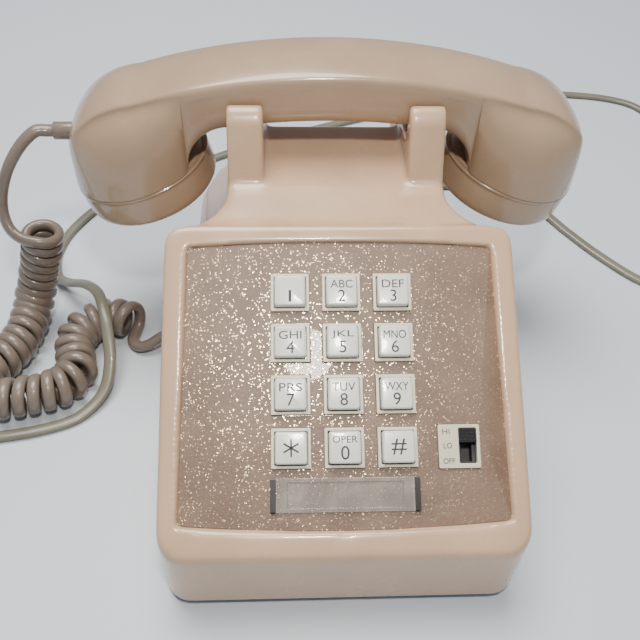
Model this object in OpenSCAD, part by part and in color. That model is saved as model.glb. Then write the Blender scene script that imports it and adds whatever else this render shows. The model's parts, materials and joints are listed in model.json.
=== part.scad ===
// Push-button desk telephone: a sloped-front base with a high cradle, a handset
// lying across the cradle, a curly handset cord and a flat line cord.
// X runs along the handset, the buttons face -Y, Z is up, and the origin is on
// the resting plane under the middle of the base. All sizes are millimetres.

/* [Base] */
// Width of the base across the rim
body_w = 132.6; // [110:0.1:160]
// Height of the front wall where the sloped face starts
front_h = 38; // [31:0.5:46]
// Slope of the face above the horizontal, degrees
face_slope = 30; // [25:1:36]
// Distance from the face's top edge back to the cradle's middle
neck_len = 62.7; // [52:0.1:76]
// Distance from the cradle's middle back to the rear wall
rear_len = 40.8; // [34:0.1:50]
// Height of the rear wall
rear_h = 58; // [46:1:70]
// Wall thickness of the housing
wall = 3.1; // [2.5:0.1:3.8]
// Rubber feet: height under the base plate
foot_h = 2.5; // [1.5:0.1:5]
// Thickness of the steel base plate
base_t = 1.5; // [1:0.1:3]

/* [Face] */
// Width of the rim beside the faceplate
rim_w = 7.3; // [5:0.1:12]
// How far the rim stands above the faceplate
rim_proud = 1.5; // [0.8:0.1:3]
// Thickness of the faceplate
plate_t = 1.6; // [1:0.1:3]
// How far the plate's top and bottom edges bow outwards
plate_bow = 2.6; // [0:0.1:4]
// Rim below the faceplate's lower corners, along the face
rim_low = 11.9; // [9.8:0.1:15]
// Rim above the faceplate's upper corners, along the face
rim_high = 8.7; // [7:0.1:11]
// Gap round the faceplate, and round every fixed piece let into it
fit_gap = 0.15; // [0.05:0.05:0.4]

/* [Keys] */
// Distance between key centres
key_pitch = 19.05; // [15.8:0.05:23]
// Outside width of the square collar round each key
collar_w = 14.2; // [11.8:0.1:17.1]
// Wall of the collar
collar_wall = 1.1; // [0.8:0.1:1.4]
// Gap between a key and its collar, each side
key_gap = 0.3; // [0.1:0.05:0.5]
// How far a key stands above its collar
key_proud = 3; // [2.6:0.1:4]
// How far the collar stands above the faceplate
collar_proud = 1.2; // [0.5:0.1:2]
// Travel of a key
key_travel = 2.5; // [1:0.1:2.5]
// Faceplate above the top row of collars
top_gap = 10.6; // [8:0.1:14]

/* [Volume switch and card] */
// Width of the volume plate
volume_w = 15; // [13:0.1:18]
// Length of the volume plate, along the face
volume_l = 15.5; // [13.6:0.1:18.6]
// Width of the volume knob
knob_w = 6.2; // [5:0.1:7]
// Length of the volume knob, along the face
knob_l = 5; // [4.2:0.1:6]
// Width of the number-card window
card_w = 53; // [44:0.5:63]
// Height of the number-card window, along the face
card_l = 11.8; // [9.8:0.1:14.2]
// Faceplate between the bottom row of collars and the window
card_gap = 3.3; // [2:0.1:5]
// Faceplate below the window, at its lower corners
low_gap = 3.9; // [3:0.1:6]

/* [Cradle] */
// Height of the saddle above the deck
saddle_h = 8.9; // [7.4:0.1:10.7]
// Height of the front horns above the deck
horn_h = 25.2; // [22:0.1:30]
// Gap between the handle and a horn
horn_gap = 0.5; // [0.3:0.1:1.5]
// How far the plungers rise when the handset is lifted
plunger_travel = 5; // [4:0.1:6]
// Radial clearance of every running fit
run_fit = 0.06; // [0.02:0.01:0.1]

/* [Handset] */
// Overall length of the handset
handset_len = 224; // [186:0.5:269]
// Width of the handle, front to back
handle_w = 35; // [29:0.5:42]
// Thickness of the handle at its middle
handle_t = 24; // [20:0.5:29]
// How far a cap's inner edge stands out from the handle's arch, as a lip
cap_lip = 7; // [5.8:0.1:8.4]
// Radius of the handle's long arch
handle_arch = 270; // [225:1:324]
// How far the handset lies from the middle of the cradle
handset_shift = -1.6; // [-1.6:0.1:1.6]
// Diameter of the screw caps
cap_d = 61; // [51:0.5:73]
// Height of the screw caps
cap_h = 16; // [13.5:0.5:19]
// Tilt of the caps towards each other, degrees
cap_tilt = 15; // [12:1:18]

/* [Cords] */
// Diameter of the curly cord's strand
strand_d = 5.6; // [4.6:0.1:6.6]
// Outside diameter of the curly cord's coil
curl_d = 20; // [17:0.5:20]
// Width of the flat line cord
line_d = 5.4; // [4.5:0.1:5.5]

/* [Hidden] */

// Colours
tan_shell = [0.72, 0.58, 0.44];
brown_plate = [0.42, 0.32, 0.25];
cream = [0.87, 0.85, 0.76];
key_white = [0.9, 0.9, 0.86];
cord_taupe = [0.42, 0.36, 0.31];
cord_olive = [0.30, 0.29, 0.24];
steel = [0.62, 0.62, 0.60];
dark = [0.12, 0.11, 0.11];

// Small clearance that keeps neighbouring solids apart
hair = 0.3;

// Handset: d is the distance from its middle, the caps' middles are cup_d away
half_len = handset_len / 2;
cap_r = cap_d / 2;
cup_d = half_len - cap_r * cos(cap_tilt);
cup_z = -27;
grip_end = cup_d - cap_r * cos(cap_tilt);
arch_start = 0.787 * grip_end;
arch_end = grip_end + cap_lip;

// Base: heights and stations along Y
half_w = body_w / 2;
base_top = foot_h + base_t;
card_down = 1.5 * key_pitch + collar_w / 2 + card_gap + card_l / 2;
key_up = card_down + card_l / 2 + low_gap;
plate_l = key_up + 1.5 * key_pitch + collar_w / 2 + top_gap;
face_len = rim_low + plate_l + rim_high;
face_run = face_len * cos(face_slope);
body_len = face_run + neck_len + rear_len;
front_y = -body_len / 2;
rear_y = body_len / 2;
rim_y = front_y + face_run;
rim_z = front_h + face_len * sin(face_slope);
cradle_y = rim_y + neck_len;
deck_z = rim_z - 0.8;
groove_z = deck_z - 2.6;
foot_y = cradle_y - handle_w / 2 - 20;
saddle_z = deck_z + saddle_h;
horn_top = deck_z + horn_h;
arm_w = 0.2732 * grip_end;
arm_mid = 2.5 * arm_w;
neck_half = 3 * arm_w + 0.5;
rim_corner = 6;
neck_run = 20;
deck_back = cradle_y + 5;
horn_front = cradle_y - handle_w / 2 - horn_gap;
horn_back = cradle_y + handle_w / 2 + horn_gap;
rear_slope_y = rear_y - 7;
corner_r = 10;

// Face: the frame's origin is the middle of the keys on the faceplate's surface
ledge_t = 1.6;
face_wall = rim_proud + plate_t + ledge_t;
plate_w = body_w - 2 * rim_w;
plate_taper = 1.6;
key_b = rim_low + key_up;
volume_x = (key_pitch + collar_w / 2 + plate_w / 2) / 2 - 1.3;
volume_y = -1.5 * key_pitch;
knob_x = 3.1;
knob_y = 0.2;
knob_travel = volume_l - knob_l - 3.2;

// Keypad stack, measured along the face's normal from the faceplate's surface
pad = [2 * key_pitch + collar_w + 8, 3 * key_pitch + collar_w + 8];
bezel_top = -plate_t;
bezel_t = 1.8;
bezel_low = bezel_top - bezel_t;
cap_w = collar_w - 2 * collar_wall - 2 * key_gap;
flange_top = bezel_low - hair;
flange_t = 1.2;
guide_top = flange_top - flange_t - key_travel - hair;
guide_t = 1.8;
stem_w = 4;
stem_low = guide_top - guide_t - 2.8;
sheet_t = 0.4;
dome_h = 0.8;
board_top = stem_low - key_travel - hair - dome_h - sheet_t;
board_t = 1.6;

// Handset: places in its middle's own frame
grip_z = saddle_z + 4.6;
crown = 2.2;
shoulder_d = half_len - 32;
end_d = half_len - 42;
end_z = -27.5;
end_power = 2.3;
cap_wall = 2.4;
unit_r = cap_r - cap_wall - 1.5;
boss_r = cap_r - cap_wall - hair;
boss_h = 3;
neck_r = cup_d - arch_end - 1.2;
cup_bore_r = neck_r - 2.5;
cup_bore_h = 10;
well_r = cup_bore_r - 1.5;
well_h = 26;
tunnel_r = 4;
tunnel_z = handle_t / 2 - 3;
tunnel_turn = asin((cup_d - 5) / handle_arch);
gland_z = grip_z - 13.5;
gland_x = handset_shift - half_len;

// Ringer, network and hook switch on the base plate
gong_r = 21;
gong_gap = 12;
gong_x = gong_r + gong_gap / 2;
gong_y = cradle_y - 114;
gong_t = 1.6;
gong_h = 14;
gong_top = base_top + 18;
post_r = 4;
screw_r = 2;
clapper_y = gong_y + 26;
clapper_z = base_top + 11;
ball_r = 3.4;
clapper_pin_r = 1.2;
coil_y = clapper_y + 14;
coil_z = base_top + 13;
coil_r = 9.5;
coil_half = 13;
core_r = 4;
pivot_y = cradle_y - 20;
pivot_z = deck_z - 23;
pivot_r = 1.5;
lever_t = 2;
lever_half = neck_half - wall - 0.65;
lever_top = pivot_z + 3.5;
hub_r = 3.4;
ear_x = 14;
ear_t = 1.6;
plunger_r = 0.24 * arm_w;
plunger_low = lever_top + hair;
plunger_top = grip_z - arch_drop(arm_mid + plunger_r + abs(handset_shift)) - hair;
pocket_r = 0.38 * arm_w;
inlet_r = 4.1;
saddle_t = 3;
plunger_flange = saddle_z - saddle_t - plunger_travel - 1.8;

// Cords: routes chosen by hand, each starting where the cord leaves its gland
floor_gap = 0.1;
// how far the cords on the floor stand further out beside a wider body
beside = 66.3 - half_w;
function moved_out(route) = [for (p = route) p[0] < -90 ? p + [beside, 0, 0] : p];
strand_r = strand_d / 2;
curl_r = curl_d / 2;
line_r = line_d / 2;
lead_start = [gland_x - 6, cradle_y, gland_z];
lead_route = concat([lead_start, lead_start + [-3, 0, 0], lead_start + [-7.4, -1.6, 0.6],
    lead_start + [-13.4, -5.1, -3.5], lead_start + [-19.4, -8.1, -11]],
    moved_out([[-143.3, 53.5, 79], [-146, 51.3, 71], [-146.5, 49, 63.5], [-143.5, 46, 57.5],
    [-138.5, 43.5, 55.5], [-133, 44.5, 54.5]]));
curl_route = moved_out([[-131.5, 47.5, 55], [-134, 48, 45], [-137, 48, 36], [-140, 47.5, 27], [-142.5, 45.5, 19],
    [-144.5, 40, 13], [-145.5, 31, 10.6], [-147, 21, 10.2], [-151, 11, 10.2], [-156.5, 2.5, 10.2],
    [-158.5, -7, 10.2], [-151, -13.5, 10.2], [-141, -12.5, 10.2], [-131, -10.5, 10.2],
    [-121.5, -6, 10.2], [-117, 3, 10.2], [-120, 13, 10.2], [-120.5, 23, 10.2],
    [-114.5, 32, 10.2], [-105, 36, 10.2], [-95, 32.5, 10.2]]);
tail_end = [-half_w - 9, cradle_y - 38, 9];
tail_route = [[-95 + beside, 32.5, 6], tail_end + [-13.7, 3.9, -4], tail_end + [-6.7, 0.9, -2.5], tail_end];
line_exit = [28, rear_y + 17, 9];
line_route = moved_out([line_exit, [36, 134, 6.5], [52, 146, 3.2], [76, 151, 2.8], [104, 146, 2.8], [128, 131, 2.8],
    [142, 108, 2.8], [155, 88, 2.8], [172, 68, 2.8], [190, 60, 2.8], [208, 70, 2.8], [222, 98, 2.8],
    [231, 140, 2.8], [234.5, 185, 2.8], [233.5, 218, 2.8], [226, 240, 2.8], [208, 251, 2.8], [180, 256, 2.8],
    [145, 256, 2.8], [100, 248, 2.8], [50, 232, 2.8], [0, 212, 2.8], [-50, 188, 2.8], [-95, 160, 2.8],
    [-124, 137, 2.8], [-140, 112, 2.8], [-145, 90, 2.8], [-141, 72, 4], [-132, 61, 10], [-121, 52, 18],
    [-112.5, 42, 23], [-107.5, 31, 24.5], [-104, 18, 19.5], [-102.5, 6, 12], [-105, -7, 5.5],
    [-115, -18.5, 2.8], [-130, -24.5, 2.8], [-145, -27.5, 2.8], [-158, -29, 2.8], [-172, -29.5, 2.8],
    [-184.7, -29.5, 2.8]]);
coil_at = [-179 + beside, -62, 0];
coil_in = 19.5;
coil_out = coil_in + 3 * line_d;
coil_h = 2 * 3.1;
plug_at = [-149.5 + beside, -95, 0];
end_route = moved_out([[-177, -95, 3.4], [-167, -95, 3.3], [-156.5, -95, 3.3]]);

// ---- shared shapes ----

// Children in the face's frame: X across, Y up the slope, Z out of the face
module on_face() {
    translate([0, front_y, front_h])
        rotate([face_slope, 0, 0])
            translate([0, key_b, -rim_proud])
                children();
}

// Children in the handset's frame, at the middle of the handle's underside
module on_handset() {
    translate([handset_shift, cradle_y, grip_z]) children();
}

// Children on a cap's own axis, Z pointing out of the cap, origin on the seam
module on_cap(side) {
    on_handset()
        translate([side * cup_d, 0, cup_z])
            rotate([0, -side * (180 - cap_tilt), 0])
                children();
}

// A block centred in X and Y, rising from z
module slab(size, z = 0) {
    translate([-size[0] / 2, -size[1] / 2, z]) cube(size);
}

// A YZ profile given as [y, z] points, extruded across X
module across(width) {
    rotate([90, 0, 90]) linear_extrude(width, center = true) children();
}

function unit(v) = v / norm(v);

// A smooth curve through points p, with k steps between neighbours
function spline_at(a, b, c, d, t) =
    0.5 * ((2 * b) + (c - a) * t + (2 * a - 5 * b + 4 * c - d) * t * t
        + (3 * b - a - 3 * c + d) * t * t * t);
function spline(p, k) = let (n = len(p)) concat(
    [for (i = [0:n - 2], j = [0:k - 1])
        spline_at(p[max(i - 1, 0)], p[i], p[i + 1], p[min(i + 2, n - 1)], j / k)],
    [p[n - 1]]);
function tangents(p) = let (n = len(p))
    [for (i = [0:n - 1]) unit(p[min(i + 1, n - 1)] - p[max(i - 1, 0)])];
function carry(t, v, i = 0) = i == len(t) ? [] :
    let (m = unit(v - (v * t[i]) * t[i])) concat([m], carry(t, m, i + 1));

// One closed tube swept along a route
module tube(route, r, steps, sides = 8) {
    p = spline(route, steps);
    t = tangents(p);
    u = carry(t, [0.1, 0.2, 1]);
    n = len(p);
    rings = [for (i = [0:n - 1])
        let (w = cross(t[i], u[i]))
        [for (j = [0:sides - 1]) p[i] + r * (cos(360 * j / sides) * u[i] + sin(360 * j / sides) * w)]];
    skin(rings);
}

// A closed solid through rings of points, all with the same count
module skin(rings) {
    n = len(rings);
    m = len(rings[0]);
    points = [for (r = rings) each r];
    sides = [for (i = [0:n - 2], j = [0:m - 1])
        let (a = i * m + j, b = i * m + (j + 1) % m)
        each [[a, b + m, b], [a, a + m, b + m]]];
    polyhedron(points, concat([[for (j = [0:m - 1]) j]], sides,
        [[for (j = [m - 1:-1:0]) (n - 1) * m + j]]));
}

// ---- housing ----

function face_at(y, inset) = front_h + (y - front_y) * tan(face_slope) - inset / cos(face_slope);
function face_meets(z, inset) = front_y + (z - front_h + inset / cos(face_slope)) / tan(face_slope);

// Side profile of the shell; inset 0 is the outside, 1 the cavity
module side_profile(inside) {
    t = inside ? wall : 0;
    f = inside ? face_wall : 0;
    roof = groove_z - t;
    low = inside ? base_top - 1 : base_top;
    neck = inside ? [[face_meets(roof, f), roof]]
        : [[rim_y, rim_z], [rim_y + 3, groove_z], [foot_y, deck_z]];
    back = inside ? [[deck_back - 3, roof], [rear_slope_y - t - 1, rear_h - t - 1], [rear_y - t, rear_h - 12]]
        : [[deck_back, deck_z], [rear_slope_y, rear_h], [rear_y, rear_h - 10]];
    polygon(concat([[front_y + t, low], [front_y + t, face_at(front_y + t, f)]], neck, back,
        [[rear_y - t, low]]));
}

function arc_points(c, r, a0, a1, n) =
    [for (i = [0:n]) c + r * [cos(a0 + (a1 - a0) * i / n), sin(a0 + (a1 - a0) * i / n)]];

// Plan of the front lump: rounded corners, then a concave flare from the rim to the neck
module front_plan(t) {
    h = half_w - t;
    r = corner_r - t;
    k = neck_half - t;
    c = half_w - rim_corner;
    flare = [for (i = [1:10]) let (s = i / 10)
        [k + (c - k) * pow(1 - s, 1.8), rim_y - t * (1 - s) + neck_run * s]];
    right = concat([[0, front_y + t]], arc_points([h - r, front_y + t + r], r, -90, 0, 8),
        arc_points([c, rim_y - rim_corner], rim_corner - t, 0, 90, 6), flare);
    polygon(concat(right, [for (i = [len(right) - 1:-1:1]) [-right[i][0], right[i][1]]]));
}

// Front profile of the rear lump: wide at the base, narrow at the cradle
module rear_front(t) {
    h = half_w - t;
    k = neck_half - t;
    right = spline([[h, 0], [h - 1.5, 30], [k + 6, 56], [k + 1, 68], [k, 73], [k, deck_z + 1]], 3);
    polygon(concat(right, [for (i = [len(right) - 1:-1:0]) [-right[i][0], right[i][1]]]));
}

module body_block(inside) {
    t = inside ? wall : 0;
    intersection() {
        across(body_w) side_profile(inside);
        union() {
            linear_extrude(rim_z + 10) front_plan(t);
            translate([0, rear_y, 0])
                rotate([90, 0, 0])
                    linear_extrude(rear_y - rim_y + 2) rear_front(t);
        }
    }
}

// One cradle arm with its front horn, saddle and rear horn
module cradle_arm() {
    across(arm_w) polygon([
        [foot_y - 4, deck_z - 9], [foot_y, deck_z - 1], [horn_front - 9.5, horn_top - 7],
        [horn_front - 8.2, horn_top - 4.3], [horn_front - 6.2, horn_top - 2],
        [horn_front - 3.8, horn_top - 0.5], [horn_front - 1.8, horn_top],
        [horn_front - 0.4, horn_top - 0.6], [horn_front, horn_top - 2],
        [horn_front, saddle_z], [horn_back, saddle_z], [horn_back, horn_top - 8],
        [horn_back + 1.4, horn_top - 6.2], [horn_back + 3.2, horn_top - 5.8], [horn_back + 5.5, horn_top - 8],
        [horn_back + 10, deck_z - 8], [rear_slope_y - 1, rear_h + 3],
        [rear_slope_y - 4, rear_h - 6], [cradle_y + 8, deck_z - 9]]);
}

// Outline of the faceplate, grown by g
module plate_outline(g) {
    w0 = plate_w / 2 + g;
    w1 = w0 - plate_taper;
    h = plate_l / 2 + g;
    n = 8;
    shift = plate_l / 2 - key_up;
    low = [for (i = [0:n]) let (s = -1 + 2 * i / n) [w0 * s, shift - h - plate_bow * (1 - s * s)]];
    top = [for (i = [0:n]) let (s = 1 - 2 * i / n) [w1 * s, shift + h + (plate_bow - 0.5) * (1 - s * s)]];
    polygon(concat(low, top));
}

module housing() {
    color(tan_shell)
    difference() {
        union() {
            difference() {
                body_block(false);
                body_block(true);
            }
            for (side = [-1, 1]) translate([side * arm_mid, 0, 0]) cradle_arm();
        }
        // the faceplate's seat, and the smaller opening through its ledge
        on_face() translate([0, 0, -plate_t]) linear_extrude(20) plate_outline(fit_gap);
        on_face() translate([0, 0, -face_wall - 4]) linear_extrude(20) plate_outline(-3);
        // plunger guides, each with a pocket for the plunger's flange
        for (side = [-1, 1]) translate([side * arm_mid, cradle_y, 0]) {
            translate([0, 0, saddle_z - saddle_t - 1])
                cylinder(r = plunger_r + run_fit, h = 20, $fn = 48);
            translate([0, 0, deck_z - 20])
                cylinder(r = pocket_r, h = 20 + saddle_h - saddle_t, $fn = 48);
        }
        // cord inlets
        translate([-half_w - 8, tail_end[1], tail_end[2]]) rotate([0, 90, 0])
            cylinder(r = inlet_r, h = 20, $fn = 40);
        translate([line_exit[0], rear_y - 12, line_exit[2]]) rotate([-90, 0, 0])
            cylinder(r = inlet_r, h = 20, $fn = 40);
    }
}

// ---- base ----

module base_plan(g) {
    x = half_w - corner_r;
    y = rear_y - corner_r;
    r = corner_r - g;
    polygon(concat(arc_points([x, -y], r, -90, 0, 5), arc_points([x, y], r, 0, 90, 5),
        arc_points([-x, y], r, 90, 180, 5), arc_points([-x, -y], r, 180, 270, 5)));
}

module at_feet() {
    for (x = [-1, 1], y = [-1, 1]) translate([x * (half_w - 17), y * (rear_y - 17), 0]) children();
}

module base_plate() {
    color(steel)
    difference() {
        translate([0, 0, foot_h]) linear_extrude(base_t) base_plan(1.2);
        at_feet() translate([0, 0, foot_h - 1]) cylinder(r = screw_r + run_fit, h = base_t + 2, $fn = 32);
    }
}

module feet() {
    color(dark)
    at_feet() difference() {
        cylinder(r = 7, h = foot_h, $fn = 48);
        translate([0, 0, -1]) cylinder(r = 3.8, h = 2.2, $fn = 32);
        translate([0, 0, -1]) cylinder(r = screw_r + run_fit, h = foot_h + 2, $fn = 32);
    }
}

module base_screws() {
    color(steel)
    at_feet() {
        translate([0, 0, 0.3]) cylinder(r = 3.4, h = 0.9, $fn = 32);
        translate([0, 0, 1]) cylinder(r = screw_r, h = base_top + 5, $fn = 32);
    }
}

// ---- network and ringer ----

module network_block() {
    color([0.25, 0.22, 0.2])
    translate([0, cradle_y + 4, base_top]) {
        slab([74, 38, 20]);
        for (x = [-30:12:30]) translate([x, 12, 20]) cylinder(r = 2.6, h = 2, $fn = 24);
        for (x = [-30:12:30]) translate([x, -12, 20]) cylinder(r = 2.6, h = 2, $fn = 24);
    }
}

module ringer_frame() {
    color(steel)
    difference() {
        union() {
            translate([0, (coil_y + clapper_y) / 2 + 2, base_top]) slab([36, 34, 1.4]);
            for (side = [-1, 1]) translate([side * (coil_half + 1.8), coil_y, base_top]) slab([1.6, 20, 24]);
        }
        translate([-30, coil_y, coil_z]) rotate([0, 90, 0]) cylinder(r = core_r + 0.02, h = 60, $fn = 48);
        translate([0, clapper_y, base_top - 1]) cylinder(r = clapper_pin_r + 0.02, h = 4, $fn = 32);
    }
}

module ringer_coil() {
    color([0.5, 0.25, 0.12])
    translate([0, coil_y, coil_z]) rotate([0, 90, 0])
        difference() {
            union() {
                cylinder(r = coil_r - 1, h = 2 * coil_half - 2, center = true, $fn = 48);
                for (s = [-1, 1]) translate([0, 0, s * (coil_half - 0.6)])
                    cylinder(r = coil_r, h = 1.2, center = true, $fn = 48);
            }
            cylinder(r = core_r + 0.02, h = 60, center = true, $fn = 48);
        }
}

module ringer_core() {
    color(steel)
    translate([0, coil_y, coil_z]) rotate([0, 90, 0])
        cylinder(r = core_r, h = 2 * coil_half + 9, center = true, $fn = 48);
}

module clapper() {
    color(steel)
    translate([0, clapper_y, 0]) difference() {
        union() {
            translate([0, 0, clapper_z - 3]) cylinder(r = 2.8, h = 6, $fn = 32);
            translate([-0.8, gong_y - clapper_y + 1, clapper_z - 1]) cube([1.6, clapper_y - gong_y - 2.5, 2]);
            translate([0, gong_y - clapper_y, clapper_z]) sphere(r = ball_r, $fn = 32);
            translate([-8, 1.9, clapper_z - 3]) cube([16, 1.2, 6]);
        }
        cylinder(r = clapper_pin_r + run_fit, h = 60, $fn = 32);
    }
}

module clapper_pin() {
    color(steel)
    translate([0, clapper_y, base_top]) cylinder(r = clapper_pin_r, h = 16, $fn = 32);
}

module gong(side, drop) {
    color([0.72, 0.6, 0.33])
    translate([side * gong_x, gong_y, gong_top]) rotate_extrude($fn = 72)
        polygon([[screw_r + 0.3, 0], [gong_r - 5, 0], [gong_r - 1.5, -3], [gong_r, -gong_h + drop],
            [gong_r - gong_t, -gong_h + drop], [gong_r - 1.5 - gong_t, -3 - gong_t / 2],
            [gong_r - 5.5, -gong_t], [screw_r + 0.3, -gong_t]]);
}

module gong_low() gong(-1, 0);

module gong_high() gong(1, 2);

module gong_posts() {
    color(steel)
    for (side = [-1, 1]) translate([side * gong_x, gong_y, base_top]) difference() {
        cylinder(r = post_r, h = gong_top - gong_t - base_top, $fn = 32);
        translate([0, 0, 6]) cylinder(r = screw_r + 0.02, h = 30, $fn = 32);
    }
}

module gong_screws() {
    color(steel)
    for (side = [-1, 1]) translate([side * gong_x, gong_y, gong_top]) {
        cylinder(r = 3.6, h = 1.8, $fn = 32);
        translate([0, 0, -8]) cylinder(r = screw_r, h = 8.5, $fn = 32);
    }
}

// ---- hook switch ----

module hookswitch_frame() {
    color(steel)
    difference() {
        union() {
            translate([0, pivot_y - 10, base_top]) slab([34, 14, 1.6]);
            translate([-17, pivot_y - 10, base_top]) cube([34, 1.6, pivot_z - base_top + 5]);
            for (side = [-1, 1])
                translate([side * (ear_x + 2.2) - ear_t / 2, pivot_y - 10, pivot_z - 14]) cube([ear_t, 15, 19]);
        }
        translate([-40, pivot_y, pivot_z]) rotate([0, 90, 0]) cylinder(r = pivot_r + 0.01, h = 80, $fn = 32);
    }
}

module hook_pivot_pin() {
    color(steel)
    translate([0, pivot_y, pivot_z]) rotate([0, 90, 0])
        cylinder(r = pivot_r, h = 2 * ear_x + 10, center = true, $fn = 32);
}

module hook_lever() {
    color([0.2, 0.2, 0.2])
    difference() {
        union() {
            translate([0, pivot_y, pivot_z]) rotate([0, 90, 0])
                cylinder(r = hub_r, h = 2 * ear_x, center = true, $fn = 48);
            translate([-lever_half, pivot_y - 2.4, lever_top - lever_t]) cube([2 * lever_half, 14, lever_t]);
            for (side = [-1, 1])
                translate([side * (lever_half - 4) - 4, pivot_y, lever_top - lever_t])
                    cube([8, cradle_y - pivot_y + 4, lever_t]);
        }
        translate([0, pivot_y, pivot_z]) rotate([0, 90, 0])
            cylinder(r = pivot_r + run_fit, h = 100, center = true, $fn = 32);
        // room for the frame's ears as the lever turns
        for (side = [-1, 1])
            translate([side * (ear_x + 2.2) - ear_t / 2 - 1, pivot_y - 10, pivot_z - 20])
                cube([ear_t + 2, 16.5, 40]);
    }
}

module hook_contacts() {
    color([0.6, 0.5, 0.3])
    translate([0, pivot_y - 8.4, pivot_z - 46]) {
        translate([-10, 0, 0]) cube([20, 7, 12]);
        for (i = [0:2]) translate([-7 + 5.5 * i, 1 + 2 * i, 12]) cube([3, 0.6, 22]);
    }
}

module plunger(side) {
    color([0.85, 0.83, 0.78])
    translate([side * arm_mid, cradle_y, 0]) {
        translate([0, 0, plunger_low + 5]) cylinder(r = plunger_r, h = plunger_top - plunger_low - 5, $fn = 48);
        translate([0, 0, plunger_low]) cylinder(r = 1, h = 6, $fn = 32);
        translate([0, 0, plunger_flange]) cylinder(r = pocket_r - 0.5, h = 1.4, $fn = 48);
    }
}

module plunger_left() plunger(-1);

module plunger_right() plunger(1);

// ---- keypad ----

function key_place(i) = let (col = i % 3, row = floor(i / 3)) [(col - 1) * key_pitch, (1.5 - row) * key_pitch];

module faceplate() {
    color(brown_plate)
    on_face() difference() {
        translate([0, 0, -plate_t]) linear_extrude(plate_t) plate_outline(0);
        for (i = [0:11]) translate(concat(key_place(i), -5))
            slab([collar_w + 2 * fit_gap, collar_w + 2 * fit_gap, 10]);
        translate([volume_x, volume_y, -5]) slab([volume_w + 2 * fit_gap, volume_l + 2 * fit_gap, 10]);
    }
}

module keypad_bezel() {
    color(cream)
    on_face() difference() {
        union() {
            slab([pad[0], pad[1], bezel_t], bezel_low);
            for (i = [0:11]) translate(key_place(i))
                slab([collar_w, collar_w, collar_proud - bezel_low], bezel_low);
        }
        for (i = [0:11]) translate(key_place(i))
            slab([cap_w + 2 * key_gap, cap_w + 2 * key_gap, 20], bezel_low - 5);
    }
}

module key(i) {
    top = collar_proud + key_proud;
    color(key_white)
    on_face() translate(key_place(i)) {
        slab([cap_w, cap_w, top - 0.8 - flange_top], flange_top);
        slab([cap_w - 1, cap_w - 1, 1], top - 1);
        slab([cap_w + 2 * key_gap + 1.2, cap_w + 2 * key_gap + 1.2, flange_t], flange_top - flange_t);
        slab([stem_w, stem_w, flange_top - stem_low], stem_low);
    }
}

module keypad_chassis() {
    skirt = 2;
    color([0.3, 0.3, 0.3])
    on_face() {
        difference() {
            slab([pad[0], pad[1], bezel_low - board_top], board_top);
            slab([pad[0] - 2 * skirt, pad[1] - 2 * skirt, 40], board_top - 5);
        }
        difference() {
            slab([pad[0] - skirt, pad[1] - skirt, guide_t], guide_top - guide_t);
            for (i = [0:11]) translate(key_place(i)) slab([stem_w + 0.5, stem_w + 0.5, 20], guide_top - 10);
        }
    }
}

module contact_sheet() {
    color([0.2, 0.2, 0.22])
    on_face() {
        slab([pad[0] - 6, pad[1] - 6, sheet_t], board_top);
        for (i = [0:11]) translate(concat(key_place(i), board_top))
            cylinder(r = 3, h = dome_h + sheet_t, $fn = 24);
    }
}

module keypad_circuit_board() {
    color([0.15, 0.3, 0.18])
    on_face() slab([pad[0], pad[1], board_t], board_top - board_t);
}

module keypad_legs() {
    foot = front_y + (key_b + 25) * cos(face_slope) - (board_top - board_t) * sin(face_slope);
    height = face_at(foot, rim_proud - board_top + board_t) - base_top;
    color(steel)
    for (side = [-1, 1]) translate([side * (pad[0] / 2 - 4), foot, base_top]) {
        slab([12, 14, 1.4]);
        rise = 5 * tan(face_slope);
        across(1.4) polygon([[-5, 0], [5, 0], [5, height + rise], [-5, height - rise]]);
    }
}

module at_volume() {
    on_face() translate([volume_x, volume_y, 0]) children();
}

module volume_slot(z, h) {
    translate([knob_x, knob_y, z]) slab([knob_w + 0.3, knob_l + knob_travel + 0.3, h]);
}

module volume_bezel() {
    color(cream)
    at_volume() difference() {
        slab([volume_w, volume_l, plate_t + 0.8], -plate_t);
        volume_slot(-5, 10);
    }
}

module volume_knob() {
    color(dark)
    at_volume() translate([knob_x, knob_y + knob_travel / 2, 0]) {
        slab([knob_w, knob_l, plate_t + 2], -plate_t - 0.4);
        slab([3, 3, 4], -plate_t - 4);
    }
}

module volume_switch() {
    color(dark)
    at_volume() difference() {
        translate([1, 0, 0]) slab([14, 17, 9.5], -plate_t - 9.5);
        volume_slot(-plate_t - 0.8, 5);
        translate([knob_x, knob_y, 0]) slab([4, 4 + knob_travel, 6], -plate_t - 5);
    }
}

module card_window() {
    color([0.8, 0.78, 0.74, 0.5])
    on_face() translate([0, -card_down, 0]) difference() {
        slab([card_w - 4, card_l, 1.4]);
        slab([card_w - 12, card_l - 3, 2], 0.8);
    }
}

module card_clips() {
    color(dark)
    on_face() for (side = [-1, 1]) translate([side * (card_w / 2 - 1), -card_down, 0])
        slab([1.9, card_l, 1.8]);
}

// ---- glands ----

module line_cord_gland() {
    color(dark)
    translate([line_exit[0], rear_y, line_exit[2]]) rotate([-90, 0, 0]) {
        translate([0, 0, -8]) cylinder(r = 4, h = 9, $fn = 40);
        cylinder(r = 5.6, h = 2, $fn = 40);
        translate([0, 0, 2]) cylinder(r1 = 4.4, r2 = line_r + 0.6, h = line_exit[1] - rear_y - 2, $fn = 40);
    }
}

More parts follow.
